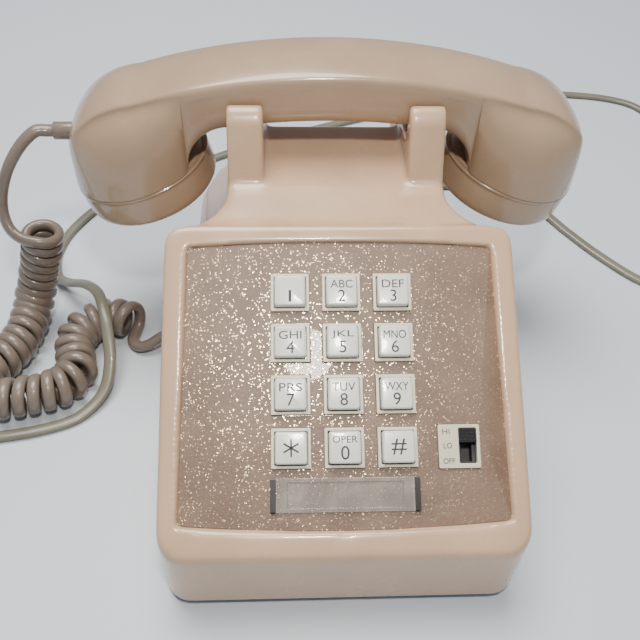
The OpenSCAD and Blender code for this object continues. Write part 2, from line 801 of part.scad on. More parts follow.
module base_cord_gland() {
    color(cord_taupe)
    translate([-half_w + 1, tail_end[1], tail_end[2]]) rotate([0, -90, 0]) {
        translate([0, 0, -8]) cylinder(r = 4, h = 9, $fn = 40);
        translate([0, 0, 0.6]) cylinder(r = 5.6, h = 2, $fn = 40);
        translate([0, 0, 2.6])
            cylinder(r1 = 4.6, r2 = strand_r + 0.5, h = -tail_end[0] - half_w - 1.6, $fn = 40);
    }
}

// ---- handset ----

function arch_drop(d) = handle_arch - sqrt(handle_arch * handle_arch - d * d);
function arc_top(d) = handle_t - arch_drop(d);
end_rise = (arc_top(shoulder_d) - end_z)
    / pow(1 - pow((shoulder_d - end_d) / (half_len + 0.6 - end_d), end_power), 1 / end_power);
function hs_top(d) = d < shoulder_d ? arc_top(d)
    : end_z + end_rise * pow(max(0, 1 - pow((d - end_d) / (half_len + 0.6 - end_d), end_power)), 1 / end_power);
function seam_z(d) = cup_z - (d - cup_d) * tan(cap_tilt);
function hs_low(d) = d < arch_start ? -arch_drop(d)
    : d < arch_end ? let (z0 = -arch_drop(arch_start), t = (d - arch_start) / (arch_end - arch_start))
        z0 + (seam_z(arch_end) - z0) * (1 - sqrt(1 - t * t))
    : seam_z(d);
function cup_half(d) = sqrt(max(4, cap_r * cap_r - pow((d - cup_d) / cos(cap_tilt), 2)));
function half_low(d) = d < arch_end ? handle_w / 2 : d < cup_d ? max(cup_half(d), handle_w / 2) : cup_half(d);
function half_top(d) = d < cup_d ? handle_w / 2 : min(handle_w / 2, 0.9 * cup_half(d));

// Half of the cross-section at distance d, from the bottom's edge to the top's middle
function half_section(d) =
    let (zt = hs_top(d) - crown, zb = hs_low(d), wb = half_low(d), wt = half_top(d),
        rb = d < arch_end ? 6.5 : 0.8, rt = min(3, 0.5 * wt), zs = zb + min(rb, (zt - zb) / 3),
        ze = zt - min(3, (zt - zb) / 3))
    concat([[wb - rb, zb], [wb - 0.3 * rb, zb + 0.3 * rb]],
        [for (i = [0:4]) let (s = i / 4, c = [wb, ze - 0.3 * (ze - zs)])
            (1 - s) * (1 - s) * [wb, zs] + 2 * s * (1 - s) * c + s * s * [wt, ze]],
        [[wt - 0.3 * rt, zt - 0.7], [wt - rt, zt + 0.4], [0.45 * wt, zt + 0.75 * crown], [0, zt + crown]]);

function hs_ring(x) = let (h = half_section(abs(x)), n = len(h))
    concat([for (p = h) [x, p[0], p[1]]], [for (i = [n - 2:-1:0]) [x, -h[i][0], h[i][1]]]);

// Stations along one half, closer together where the shape turns quickly
half_stations = concat([0, arch_start / 3, 2 * arch_start / 3, arch_start],
    [for (i = [1:4]) arch_start + (arch_end - arch_start) * sin(18 * i)],
    [for (i = [0:3]) arch_end + (shoulder_d - arch_end) * i / 3.6],
    [for (i = [0:6]) shoulder_d + (half_len - 0.7 - shoulder_d) * sin(15 * i)]);
stations = concat([for (i = [len(half_stations) - 1:-1:1]) -half_stations[i]], half_stations);

// A 2D shape swept along the arch of the handle, turn degrees to each side
module along_handle(turn) {
    on_handset() translate([0, 0, tunnel_z - handle_arch]) rotate([90, 0, 0])
        rotate([0, 0, 90 - turn]) rotate_extrude(angle = 2 * turn, $fn = 96)
            translate([handle_arch, 0]) children();
}

module handset_handle() {
    color(tan_shell)
    difference() {
        union() {
            on_handset() skin([for (x = stations) hs_ring(x)]);
            // the boss that each cap screws on to
            for (side = [-1, 1]) on_cap(side) {
                translate([0, 0, 0.4]) cylinder(r = boss_r, h = boss_h, $fn = 96);
                translate([0, 0, -3]) cylinder(r = neck_r, h = 4, $fn = 64);
            }
        }
        for (side = [-1, 1]) on_cap(side) {
            translate([0, 0, -cup_bore_h]) cylinder(r = cup_bore_r, h = cup_bore_h + 5, $fn = 64);
            translate([0, 0, -well_h]) cylinder(r = well_r, h = well_h + 5, $fn = 64);
        }
        // wire tunnel along the arch of the handle, and the cord's way in
        along_handle(tunnel_turn) circle(r = tunnel_r, $fn = 24);
        translate([gland_x + 12, cradle_y, gland_z]) rotate([0, -90, 0])
            cylinder(r = strand_r + 1.05, h = 20, $fn = 32);
    }
}

module cap(side, holes) {
    color(tan_shell)
    on_cap(side) difference() {
        union() {
            cylinder(r = cap_r, h = cap_h - 2, $fn = 96);
            cylinder(r = cap_r - 2, h = cap_h, $fn = 96);
        }
        translate([0, 0, -1]) cylinder(r = cap_r - cap_wall, h = cap_h + 1 - cap_wall, $fn = 96);
        cylinder(r = 1.2, h = 60, $fn = 24);
        for (ring = [1:holes], i = [0:6 * ring - 1])
            rotate([0, 0, 60 * i / ring]) translate([6 * ring, 0, 0]) cylinder(r = 1.2, h = 60, $fn = 24);
    }
}

module transmitter_cap() cap(-1, 2);

module receiver_cap() cap(1, 1);

module transmitter_unit() {
    color(steel)
    on_cap(-1) {
        translate([0, 0, boss_h + 1]) cylinder(r = unit_r, h = cap_h - cap_wall - boss_h - 2.2, $fn = 64);
        translate([0, 0, -3]) cylinder(r = cup_bore_r - 2.6, h = boss_h + 4.5, $fn = 64);
    }
}

module transmitter_cup() {
    color([0.25, 0.25, 0.25])
    on_cap(-1) difference() {
        translate([0, 0, -8]) cylinder(r = cup_bore_r - 0.3, h = 9.6, $fn = 64);
        translate([0, 0, -6]) cylinder(r = cup_bore_r - 2, h = 20, $fn = 64);
        translate([0, 0, -20]) cylinder(r = 5, h = 20, $fn = 32);
    }
}

module receiver_unit() {
    color(steel)
    on_cap(1) {
        translate([0, 0, boss_h + 1]) cylinder(r = unit_r - 1, h = cap_h - cap_wall - boss_h - 2.2, $fn = 64);
        translate([0, 0, -4]) cylinder(r = cup_bore_r - 1, h = boss_h + 5.5, $fn = 64);
        translate([0, 0, -9]) cylinder(r = 10, h = 5.5, $fn = 48);
    }
}

module handset_leads() {
    color([0.5, 0.2, 0.18])
    along_handle(tunnel_turn - 2) translate([-tunnel_r + 1.7, 0]) circle(r = 1.6, $fn = 16);
}

module handset_cord_gland() {
    color(dark)
    translate([lead_start[0] + hair, cradle_y, gland_z]) rotate([0, 90, 0])
        cylinder(r = strand_r + 1, h = gland_x + 6.5 - lead_start[0], $fn = 32);
}

// ---- cords ----

module handset_cord_lead() {
    color(cord_taupe) tube(lead_route, strand_r, 2);
}

module handset_cord_coil() {
    color(cord_taupe) tube(curl_route, curl_r, 1, 12);
}

module handset_cord_tail() {
    color(cord_taupe) tube(tail_route, strand_r, 2);
}

module line_cord_run() {
    color(cord_olive) tube(line_route, line_r, 2);
}

module line_cord_coil() {
    color(cord_olive)
    translate(coil_at + [0, 0, floor_gap]) rotate_extrude($fn = 72)
        translate([coil_in, 0]) square([coil_out - coil_in, coil_h]);
}

module line_cord_end() {
    color(cord_olive) tube(end_route, line_r, 1);
}

module line_cord_plug() {
    color([0.75, 0.74, 0.7])
    translate(plug_at + [0, 0, floor_gap]) rotate([0, 0, -90]) {
        slab([9.6, 13, 6.6]);
        translate([0, 3, 0]) slab([7, 16, 4]);
    }
}

housing();
faceplate();
card_window();
card_clips();
volume_bezel();
volume_knob();
volume_switch();
base_plate();
feet();
base_screws();
network_block();
ringer_frame();
ringer_coil();
ringer_core();
clapper();
clapper_pin();
gong_low();
gong_high();
gong_posts();
gong_screws();
hookswitch_frame();
hook_lever();
hook_pivot_pin();
hook_contacts();
plunger_left();
plunger_right();
keypad_bezel();
key(0);  // key_1
key(1);  // key_2
key(2);  // key_3
key(3);  // key_4
key(4);  // key_5
key(5);  // key_6
key(6);  // key_7
key(7);  // key_8
key(8);  // key_9
key(9);  // key_star
key(10);  // key_0
key(11);  // key_pound
keypad_chassis();
contact_sheet();
keypad_circuit_board();
keypad_legs();
line_cord_gland();
base_cord_gland();
handset_handle();
transmitter_cap();
receiver_cap();
transmitter_unit();
receiver_unit();
transmitter_cup();
handset_leads();
handset_cord_gland();
handset_cord_lead();
handset_cord_coil();
handset_cord_tail();
line_cord_run();
line_cord_coil();
line_cord_end();
line_cord_plug();
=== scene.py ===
# %% [markdown]
# # A push-button desk telephone
# The object is a hollow plastic shell on a steel plate. It has a sloping face
# with twelve keys, a high cradle with two arms, and a handset that lies across
# them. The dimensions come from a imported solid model, which is loaded first and
# never moved. Everything after that dresses the solids or stands in for them.

# %% Load the solid model
import json
import math

import bmesh
import bpy
import numpy as np
from mathutils import Matrix, Vector


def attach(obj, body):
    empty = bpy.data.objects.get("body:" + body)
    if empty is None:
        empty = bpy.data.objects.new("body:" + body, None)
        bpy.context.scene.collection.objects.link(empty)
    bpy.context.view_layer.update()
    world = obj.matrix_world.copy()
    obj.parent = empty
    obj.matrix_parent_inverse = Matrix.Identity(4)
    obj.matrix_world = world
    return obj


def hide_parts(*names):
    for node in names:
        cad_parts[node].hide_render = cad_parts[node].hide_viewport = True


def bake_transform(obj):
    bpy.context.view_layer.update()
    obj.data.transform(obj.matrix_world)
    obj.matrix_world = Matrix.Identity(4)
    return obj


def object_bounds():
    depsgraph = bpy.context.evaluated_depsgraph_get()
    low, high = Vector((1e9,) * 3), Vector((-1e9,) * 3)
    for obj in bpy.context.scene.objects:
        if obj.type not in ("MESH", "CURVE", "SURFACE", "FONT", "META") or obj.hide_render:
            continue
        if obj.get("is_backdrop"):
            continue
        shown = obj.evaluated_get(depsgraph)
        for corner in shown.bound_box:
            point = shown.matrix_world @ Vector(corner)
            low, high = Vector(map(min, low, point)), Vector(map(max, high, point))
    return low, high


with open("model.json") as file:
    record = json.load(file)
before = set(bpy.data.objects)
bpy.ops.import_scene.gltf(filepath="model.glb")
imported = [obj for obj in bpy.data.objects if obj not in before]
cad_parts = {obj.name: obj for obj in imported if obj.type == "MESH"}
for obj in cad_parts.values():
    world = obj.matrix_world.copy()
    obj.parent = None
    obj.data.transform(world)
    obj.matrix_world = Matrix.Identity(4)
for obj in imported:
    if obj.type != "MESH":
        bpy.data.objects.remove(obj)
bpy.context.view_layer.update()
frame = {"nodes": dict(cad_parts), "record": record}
nodes = frame["nodes"]
chance = np.random.default_rng(19)
MM = 0.001

# %% [markdown]
# ## The camera
# It stands in front of the telephone, a little to the left and well above it,
# and looks down at the keys. Its direction is kept as three plain vectors, which
# become the columns of its matrix: right, up, and backwards.

# %% Place the camera
CAMERA_AT = Vector((-20.1, -216.67, 284.31))
LOOKS_ALONG = Vector((0.0437, 0.6719, -0.7394)).normalized()
UPWARDS = Vector((0.007, 0.7398, 0.6727))

right = LOOKS_ALONG.cross(UPWARDS).normalized()
columns = Matrix((right, right.cross(LOOKS_ALONG), -LOOKS_ALONG)).transposed()
camera = bpy.data.objects.new("camera", bpy.data.cameras.new("camera"))
camera.data.sensor_width = 36
camera.data.lens = 42.1875
camera.data.clip_start = 0.01
camera.matrix_world = Matrix.Translation(CAMERA_AT * MM) @ columns.to_4x4()
bpy.context.scene.collection.objects.link(camera)
bpy.context.scene.camera = camera
print("camera:", round(CAMERA_AT.length), "mm from the middle of the base")

# %% [markdown]
# ## Finishes as expressions
# A finish is a small graph of shader nodes. Writing the graph out by hand hides
# the idea behind it, so one class wraps a socket and lets Python's own operators
# add the Math nodes. Every other node comes from one method of the finish.


# %% A socket that does arithmetic
class Signal:
    """An output socket of a finish that can be added, multiplied and so on."""

    def __init__(self, finish, socket):
        self.finish = finish
        self.socket = socket

    def math(self, operation, *values):
        inputs = dict(enumerate(values))
        return self.finish.node("ShaderNodeMath", {"operation": operation}, inputs)

    def __add__(self, other):
        return self.math("ADD", self, other)

    def __rsub__(self, other):
        return self.math("SUBTRACT", other, self)

    def __mul__(self, other):
        return self.math("MULTIPLY", self, other)

    def __gt__(self, other):
        return self.math("GREATER_THAN", self, other)

    __radd__ = __add__
    __rmul__ = __mul__


# %% A finish with one shader
class Finish:
    """A material with one Principled shader, and nodes that feed it."""

    def __init__(self, name, colour, roughness, **shader):
        self.material = bpy.data.materials.new(name)
        self.material.use_nodes = True
        self.tree = self.material.node_tree
        self.shader = self.tree.nodes["Principled BSDF"]
        self.colour = (*colour, 1)
        self.set("Base Color", self.colour)
        self.set("Roughness", roughness)
        for label, value in shader.items():
            self.set(label.replace("_", " "), value)

    def set(self, label, value):
        """Feeds a socket of the shader with a number, a colour or a signal."""
        socket = self.shader.inputs[label]
        if isinstance(value, Signal):
            self.tree.links.new(value.socket, socket)
        else:
            socket.default_value = value

    def node(self, kind, settings, inputs, output=0):
        """Any node: its settings first, then the values or links of its sockets."""
        made = self.tree.nodes.new(kind)
        for label, value in settings.items():
            setattr(made, label, value)
        for label, value in inputs.items():
            if isinstance(value, Signal):
                self.tree.links.new(value.socket, made.inputs[label])
            else:
                made.inputs[label].default_value = value
        return Signal(self, made.outputs[output])

    def place(self):
        """Where a point is on the object, in metres."""
        return self.node("ShaderNodeTexCoord", {}, {}, "Object")

    def noise(self, size_mm, detail=2, stretch=(1, 1, 1)):
        """Soft random patches about as large as size_mm."""
        where = self.node(
            "ShaderNodeVectorMath",
            {"operation": "MULTIPLY"},
            {0: self.place(), 1: stretch},
        )
        inputs = {"Vector": where, "Scale": 1 / (size_mm * MM), "Detail": detail}
        return self.node("ShaderNodeTexNoise", {}, inputs)

    def cells(self, size_mm, output="Distance"):
        """Random cells about as large as size_mm."""
        inputs = {"Vector": self.place(), "Scale": 1 / (size_mm * MM)}
        return self.node("ShaderNodeTexVoronoi", {}, inputs, output)

    def between(self, signal, low, high):
        """0 below low, 1 above high, and smooth between them."""
        inputs = {"Value": signal, "From Min": low, "From Max": high}
        return self.node(
            "ShaderNodeMapRange", {"interpolation_type": "SMOOTHSTEP"}, inputs
        )

    def blend(self, amount, first, second):
        """A colour that goes from first to second."""
        inputs = {0: amount, 6: first, 7: second}
        return self.node("ShaderNodeMix", {"data_type": "RGBA"}, inputs, 2)

    def bump(self, height, depth_mm, strength=1.0, under=None):
        """A surface raised by up to depth_mm where height is 1."""
        inputs = {"Height": height, "Distance": depth_mm * MM, "Strength": strength}
        if under:
            inputs["Normal"] = under
        return self.node("ShaderNodeBump", {}, inputs)


# %% [markdown]
# ## Moulded plastic
# Old moulded plastic is never one colour. Sun and hands leave faint cloudy
# patches, the gloss is uneven, and the surface has a very shallow ripple. One
# function gives all of that, and each plastic states its colour and its gloss.


# %% Plastics, rubber and metals
def shaded(colour, factor):
    return (*[min(1, part * factor) for part in colour], 1)


def plastic(name, colour, roughness, cloud=0.06, ripple=0.02, **shader):
    """Moulded plastic with cloudy patches, uneven gloss and a shallow ripple."""
    made = Finish(name, colour, roughness, **shader)
    patches = made.noise(26, 4)
    worn = made.noise(1.6, 3)
    tone = made.between(patches * 0.75 + worn * 0.25, 0.3, 0.7)
    low, high = shaded(colour, 1 - cloud), shaded(colour, 1 + cloud)
    made.set("Base Color", made.blend(tone, low, high))
    made.set("Roughness", made.between(patches, 0.35, 0.75) * 0.08 + roughness)
    made.set("Normal", made.bump(made.noise(5, 2), ripple))
    return made


def metal(name, colour, roughness, grain=(1, 14, 14)):
    """Metal with a fine directional grain and a little tarnish."""
    made = Finish(name, colour, roughness, Metallic=1.0)
    lines = made.noise(0.9, 3, grain)
    tarnish = made.between(made.noise(7, 4), 0.45, 0.8)
    dull = shaded(colour, 0.6)
    made.set("Base Color", made.blend(tarnish * 0.6, (*colour, 1), dull))
    made.set("Roughness", lines * 0.18 + roughness)
    made.set("Normal", made.bump(lines, 0.01))
    return made


# %% The finishes of the visible plastics
shell = plastic("shell", (0.56, 0.372, 0.235), 0.22, Coat_Weight=0.35)
handset_shell = plastic("handset_shell", (0.40, 0.278, 0.178), 0.2, Coat_Weight=0.4)
key_white = plastic("key", (0.74, 0.75, 0.68), 0.2, 0.03, 0.006, Coat_Weight=0.3)
trim = plastic("trim", (0.66, 0.62, 0.47), 0.34, 0.05, 0.008)
knob_black = plastic("knob", (0.012, 0.012, 0.012), 0.42, 0.2)
clip_black = plastic("window_clip", (0.03, 0.026, 0.024), 0.3, 0.2)
dark_plastic = plastic("dark_plastic", (0.035, 0.032, 0.03), 0.5, 0.2)
nylon = plastic("plunger", (0.68, 0.66, 0.58), 0.35, 0.04, 0.01)
ink = plastic("ink", (0.012, 0.012, 0.014), 0.5, 0.2, 0.004)

# %% The finishes inside and underneath
steel = metal("steel", (0.46, 0.46, 0.45), 0.32)
pin_steel = metal("pin_steel", (0.62, 0.62, 0.61), 0.2)
bell_brass = metal("bell", (0.60, 0.45, 0.20), 0.26)
contact_brass = metal("contacts", (0.55, 0.42, 0.2), 0.3)
board = plastic("board", (0.05, 0.13, 0.06), 0.4, 0.15)
wire = plastic("wire", (0.30, 0.05, 0.04), 0.45, 0.2)

rubber = Finish("rubber", (0.02, 0.02, 0.02), 0.8)
rubber.set("Roughness", rubber.noise(2, 3) * 0.2 + 0.65)
rubber.set("Normal", rubber.bump(rubber.noise(0.5, 3), 0.05))

winding = Finish("winding", (0.30, 0.10, 0.03), 0.3, Coat_Weight=0.6)
turns = winding.node(
    "ShaderNodeTexWave",
    {"bands_direction": "X"},
    {"Vector": winding.place(), "Scale": 300, "Distortion": 0.4},
)
winding.set(
    "Base Color", winding.blend(turns, (0.12, 0.035, 0.01, 1), (0.5, 0.2, 0.07, 1))
)
winding.set("Normal", winding.bump(turns, 0.2))
print("finishes so far:", len(bpy.data.materials))

# %% [markdown]
# ## Curves and tubes
# Both cords are tubes swept along a curve. A curve starts as a few points, and a
# Catmull-Rom spline passes smoothly through every one of them. The tube needs to
# know which way is outwards at each step, or a flat cord would twist at random,
# so that direction is carried along with as little turning as possible.


# %% Smooth curves
def spline(points, steps):
    """A smooth curve through the points, with steps between neighbours."""
    p = np.array(points, float)
    line = []
    for i in range(len(p) - 1):
        a, b = p[max(i - 1, 0)], p[i]
        c, d = p[i + 1], p[min(i + 2, len(p) - 1)]
        for t in np.arange(steps) / steps:
            pull = (c - a) * t + (2 * a - 5 * b + 4 * c - d) * t**2
            line.append(b + 0.5 * (pull + (3 * b - a - 3 * c + d) * t**3))
    return np.array([*line, p[-1]])


def travelled(line):
    """How far along the line each of its points is."""
    steps = np.linalg.norm(np.diff(line, axis=0), axis=1)
    return np.concatenate([[0], np.cumsum(steps)])


def evenly(line, step):
    """The same line with its points a fixed step apart."""
    far = travelled(line)
    at = np.linspace(0, far[-1], max(2, round(far[-1] / step)))
    return np.stack([np.interp(at, far, line[:, k]) for k in range(3)], 1)


def unit(v):
    return v / np.linalg.norm(v, axis=-1, keepdims=True)


def headings(line):
    return unit(np.gradient(line, axis=0))


def carried(heading, start):
    """A sideways direction carried along with the least turning."""
    side = np.array(start, float)
    carried_sides = []
    for t in heading:
        side = unit(side - t * (side @ t))
        carried_sides.append(side)
    return np.array(carried_sides)


# %% Meshes from rings of points
def loft(rings, ends=True):
    """Points and faces of a skin through rings that all have the same count."""
    rings = np.asarray(rings, float)
    n, m = rings.shape[:2]
    faces = [
        (i * m + j, i * m + (j + 1) % m, (i + 1) * m + (j + 1) % m, (i + 1) * m + j)
        for i in range(n - 1)
        for j in range(m)
    ]
    if ends:
        faces += [tuple(range(m - 1, -1, -1)), tuple(range((n - 1) * m, n * m))]
    return rings.reshape(-1, 3), faces


def joined(*parts):
    """Several (points, faces) as one."""
    points, faces, count = [], [], 0
    for some, their_faces in parts:
        points.append(some)
        faces += [tuple(count + k for k in face) for face in their_faces]
        count += len(some)
    return np.concatenate(points), faces


def solid(name, shape, finish, place=None, sharp=40):
    """A new object in metres from points in millimetres."""
    points, faces = shape
    mesh = bpy.data.meshes.new(name)
    mesh.from_pydata([tuple(p) for p in points], [], faces)
    if place is not None:
        mesh.transform(place)
    mesh.transform(Matrix.Scale(MM, 4))
    bm = bmesh.new()
    bm.from_mesh(mesh)
    bmesh.ops.recalc_face_normals(bm, faces=bm.faces)
    bm.to_mesh(mesh)
    bm.free()
    mesh.shade_smooth()
    mesh.set_sharp_from_angle(angle=math.radians(sharp))
    mesh.materials.append(finish.material)
    made = bpy.data.objects.new(name, mesh)
    bpy.context.scene.collection.objects.link(made)
    return made


def dressed(name, shape, finish, body, stands_for=(), place=None, sharp=40):
    """A piece with the given finish that rides on a body and hides the solid parts it
    stands for.
    """
    made = solid(name, shape, finish, place, sharp)
    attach(made, body)
    if stands_for:
        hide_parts(*stands_for)
    return made


def swept(line, outward, section):
    """A tube along the line; section is (out, across) pairs round it."""
    across = np.cross(headings(line), outward)
    rings = [
        p + np.outer(section[:, 0], o) + np.outer(section[:, 1], a)
        for p, o, a in zip(line, outward, across)
    ]
    return loft(rings)


def oval(out, across, count, power=2.0):
    """A rounded cross-section with the given half sizes."""
    turn = np.arange(count) * 2 * math.pi / count
    c, s = np.cos(turn), np.sin(turn)
    shape = (np.abs(c) ** power + np.abs(s) ** power) ** (-1 / power)
    return np.stack([out * c * shape, across * s * shape], 1)


# %% [markdown]
# ## The curly handset cord
# The strand leaves the handset's left end, hooks over, and turns into a tight
# coil that hangs down, lies on the table in an S, and ends in the base. The coil
# is a helix round a smooth middle line. The real strand is a little flattened,
# and its turns are not perfectly even, so the pitch and the radius both wander.

# %% Points shared with the solid model
FRONT_Y, FRONT_H, SLOPE, KEY_B = -104.382694, 38.0, 30.0, 66.575
CRADLE_Y, GRIP_Z = 63.582694, 111.475
HALF_LEN, HANDSET_SHIFT = 112.0, -1.6
GLAND_X = HANDSET_SHIFT - HALF_LEN
GLAND_Z = GRIP_Z - 13.5

CURLY_EXIT = [GLAND_X - 6, CRADLE_Y, GLAND_Z]
LEAD_ROUTE = [CURLY_EXIT, [GLAND_X - 9, CRADLE_Y, GLAND_Z], [-127, 62, 98.6]]
LEAD_ROUTE += [[-133, 58.5, 94.5], [-139, 55.5, 87], [-143.3, 53.5, 79]]
LEAD_ROUTE += [[-146, 51.3, 71], [-146.5, 48.5, 63.5], [-144, 44.8, 58]]
LEAD_ROUTE += [[-138.6, 41.6, 55.6]]
CURL_ROUTE = [[-131.5, 47.5, 55], [-134, 48, 45], [-137, 48, 36], [-140, 47.5, 27]]
CURL_ROUTE += [[-142.5, 45.5, 19], [-144.5, 40, 13], [-145.5, 31, 10.6]]
CURL_ROUTE += [[-147, 21, 10.2], [-151, 11, 10.2], [-156.5, 2.5, 10.2]]
CURL_ROUTE += [[-158.5, -7, 10.2], [-151, -13.5, 10.2], [-141, -12.5, 10.2]]
CURL_ROUTE += [[-131, -10.5, 10.2], [-121.5, -6, 10.2], [-117, 3, 10.2]]
CURL_ROUTE += [[-120, 13, 10.2], [-120.5, 23, 10.2], [-114.5, 32, 10.2]]
CURL_ROUTE += [[-105, 36, 10.2], [-95, 32.5, 10.2]]
TAIL_ROUTE = [[-96, 28.2, 2.6], [-94.8, 24.4, 2.8], [-91, 21.8, 3.6]]
TAIL_ROUTE += [[-86, 22.2, 5.6], [-81, 24.6, 7.8], [-75.3, 25.583, 9]]
COIL_R, PITCH = 7.2, 6.1

# %% Wind the strand
middle = evenly(spline(CURL_ROUTE, 24), 0.25)
along = travelled(middle)
down = headings(middle)
side = carried(down, (0, -1, 0))
other = np.cross(down, side)
whole_turns = round(along[-1] / PITCH)
last_turn = math.atan2(-other[-1][2], -side[-1][2])
turned = -(2 * math.pi * whole_turns - last_turn) * along / along[-1]
for waves, amount in zip((3, 7, 12), (0.5, 0.35, 0.25)):
    start = chance.uniform(0, 6)
    drift = np.sin(2 * math.pi * waves * along / along[-1] + start) - math.sin(start)
    turned += amount * drift
radius = COIL_R + 0.25 * np.sin(along / 5.3) + 0.15 * np.sin(along / 2.1 + 1)
radius = radius[:, None]
helix = middle + radius * (
    np.cos(turned)[:, None] * side + np.sin(turned)[:, None] * other
)
helix = evenly(helix, 1.7)
lead = spline([*LEAD_ROUTE, *helix[:12:4]], 8)[: -2 * 8]
tail = spline([*helix[-9::4], *TAIL_ROUTE], 8)[2 * 8 :]
lead, tail = evenly(lead, 1.7), evenly(tail, 1.7)
strand = np.concatenate([lead[:-1], helix, tail[1:]])
first, last = len(lead) - 1, len(lead) - 1 + len(helix)
print("curly cord:", round(travelled(strand)[-1]), "mm,", whole_turns, "turns")

# %% Which way is out, and the tube itself
heading = headings(strand)
hub = [middle[np.argmin(np.sum((middle - p) ** 2, 1))] for p in strand[first:last]]
outward = np.zeros_like(strand)
outward[first:last] = strand[first:last] - np.array(hub)
outward[:first] = carried(heading[first - 1 :: -1], outward[first])[::-1]
outward[last:] = carried(heading[last:], outward[last - 1])
outward = unit(outward - heading * np.sum(outward * heading, 1)[:, None])
strand_shape = swept(strand, outward, oval(2.25, 2.72, 12, 2.5))

curly_vinyl = plastic("curly_cord", (0.185, 0.145, 0.115), 0.3, 0.14, 0.03)
curly_vinyl.set("Coat Weight", 0.25)
curly_cord = solid("curly_cord", strand_shape, curly_vinyl, sharp=80)
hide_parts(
    "handset_cord_lead", "handset_cord_coil", "handset_cord_tail"
)
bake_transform(curly_cord)

# %% [markdown]
# ## The flat line cord
# A flat cord leaves the rear wall, wanders round the right side and behind the
# telephone, crosses the curly cord in a low hump, and ends as a small stored
# coil with a plug. The coil is two flat spirals, one on top of the other. The
# flat side always faces down, so the outward direction is simply upwards.

# %% Points of the line cord
LINE_EXIT = [28, 121.382694, 9]
LINE_ROUTE = [LINE_EXIT, [36, 134, 6], [52, 146, 2.2], [76, 151, 1.6]]
LINE_ROUTE += [[104, 146, 1.6], [128, 131, 1.6], [142, 108, 1.6], [155, 88, 1.6]]
LINE_ROUTE += [[172, 68, 1.6], [190, 60, 1.6], [208, 70, 1.6], [222, 98, 1.6]]
LINE_ROUTE += [[231, 140, 1.6], [234.5, 185, 1.6], [233.5, 218, 1.6], [226, 240, 1.6]]
LINE_ROUTE += [[208, 251, 1.6], [180, 256, 1.6], [145, 256, 1.6], [100, 248, 1.6]]
LINE_ROUTE += [[50, 232, 1.6], [0, 212, 1.6], [-50, 188, 1.6], [-95, 160, 1.6]]
LINE_ROUTE += [[-124, 137, 1.6], [-140, 112, 1.6], [-145, 90, 1.6], [-141, 72, 2.8]]
LINE_ROUTE += [[-132, 61, 8.8], [-121, 52, 16.8], [-112.5, 42, 21.8]]
LINE_ROUTE += [[-107.5, 31, 23.3], [-104, 18, 18.3], [-102.5, 6, 10.8]]
LINE_ROUTE += [[-105, -7, 4.3], [-115, -18.5, 1.6], [-130, -24.5, 1.6]]
LINE_ROUTE += [[-145, -27.5, 1.6], [-158, -29, 1.6], [-172, -29.5, 1.6]]
LINE_ROUTE += [[-184.73, -29.5, 1.6]]
LINE_W, LINE_T = 5.4, 3.0
STORED_AT = np.array([-179.0, -62.0])
STORED_R = (33.0, 22.2)
STORED_Z = (1.6, 4.7)
STORED_TURNS = 4 + 170 / 360
PLUG_Y = -95

# %% Wind the stored coil and sweep the cord
round_it = np.arange(0, STORED_TURNS, 1 / 48)
where = [0, 2, 2.25, 4.25]
inward = np.interp(round_it, where, [*STORED_R, *STORED_R[::-1]])
height = np.interp(round_it, where, np.repeat(STORED_Z, 2))
angle = math.radians(100) + 2 * math.pi * round_it
stored = np.stack(
    [
        STORED_AT[0] + inward * np.cos(angle),
        STORED_AT[1] + inward * np.sin(angle),
        height,
    ],
    1,
)
to_plug = [[-177, PLUG_Y, 4.4], [-167, PLUG_Y, 3.6], [-156.5, PLUG_Y, 3.3]]
line = evenly(np.concatenate([spline(LINE_ROUTE, 10), stored[1:], to_plug]), 2.5)
line[:, 2] = np.convolve(np.pad(line[:, 2], 3, "edge"), np.ones(7) / 7, "valid")
line[0] = LINE_EXIT
upward = np.tile([0.0, 0.0, 1.0], (len(line), 1))
upward = unit(upward - headings(line) * headings(line)[:, 2:])
line_shape = swept(line, upward, oval(LINE_T / 2, LINE_W / 2, 14, 2.6))

line_vinyl = plastic("line_cord", (0.17, 0.16, 0.115), 0.3, 0.12, 0.03)
line_vinyl.set("Coat Weight", 0.2)
line_cord = dressed(
    "line_cord",
    line_shape,
    line_vinyl,
    "base",
    ["line_cord_run", "line_cord_coil", "line_cord_end"],
    sharp=80,
)
print("line cord:", round(travelled(line)[-1]), "mm")

# %% The tie round the stored coil
TIE_TURN = math.radians(60)
tie_mid = [*(STORED_AT + 27.6 * np.array([math.cos(TIE_TURN), math.sin(TIE_TURN)])), 0]
loop = oval(9.0, 3.3, 28, 4)
tie_rings = []
for step in (-1.2, -0.9, 0.9, 1.2):
    grow = 0 if abs(step) > 1 else 0.25
    outer = loop + np.sign(loop) * grow
    tie_rings.append([(out, step, up + 3.62) for out, up in outer])
for step in (1.2, -1.2):
    tie_rings.append([(out * 0.985, step, up * 0.96 + 3.62) for out, up in loop])
tie_rings.append(tie_rings[0])
tie = dressed(
    "cord_tie",
    loft(tie_rings, ends=False),
    clip_black,
    "base",
    place=Matrix.Translation(tie_mid) @ Matrix.Rotation(TIE_TURN, 4, "Z"),
)

# %% [markdown]
# ## The moulded shell
# The solid model's shell has flat facets and knife edges, which no mould makes.
# A voxel remesh turns it into an even net of small squares. Each point of the net
# then moves again and again towards the middle of its neighbours, which rounds
# the edges. Outside edges get many rounds, the seat of the faceplate only a few,
# and the cradle arms a number in between, because their corners are crisper.

# %% The frame of the sloping face
FACE = (
    Matrix.Translation((0, FRONT_Y, FRONT_H))
    @ Matrix.Rotation(math.radians(SLOPE), 4, "X")
    @ Matrix.Translation((0, KEY_B, -1.5))
)


def on_face(x, y, z=0):
    return FACE @ Matrix.Translation((x, y, z))


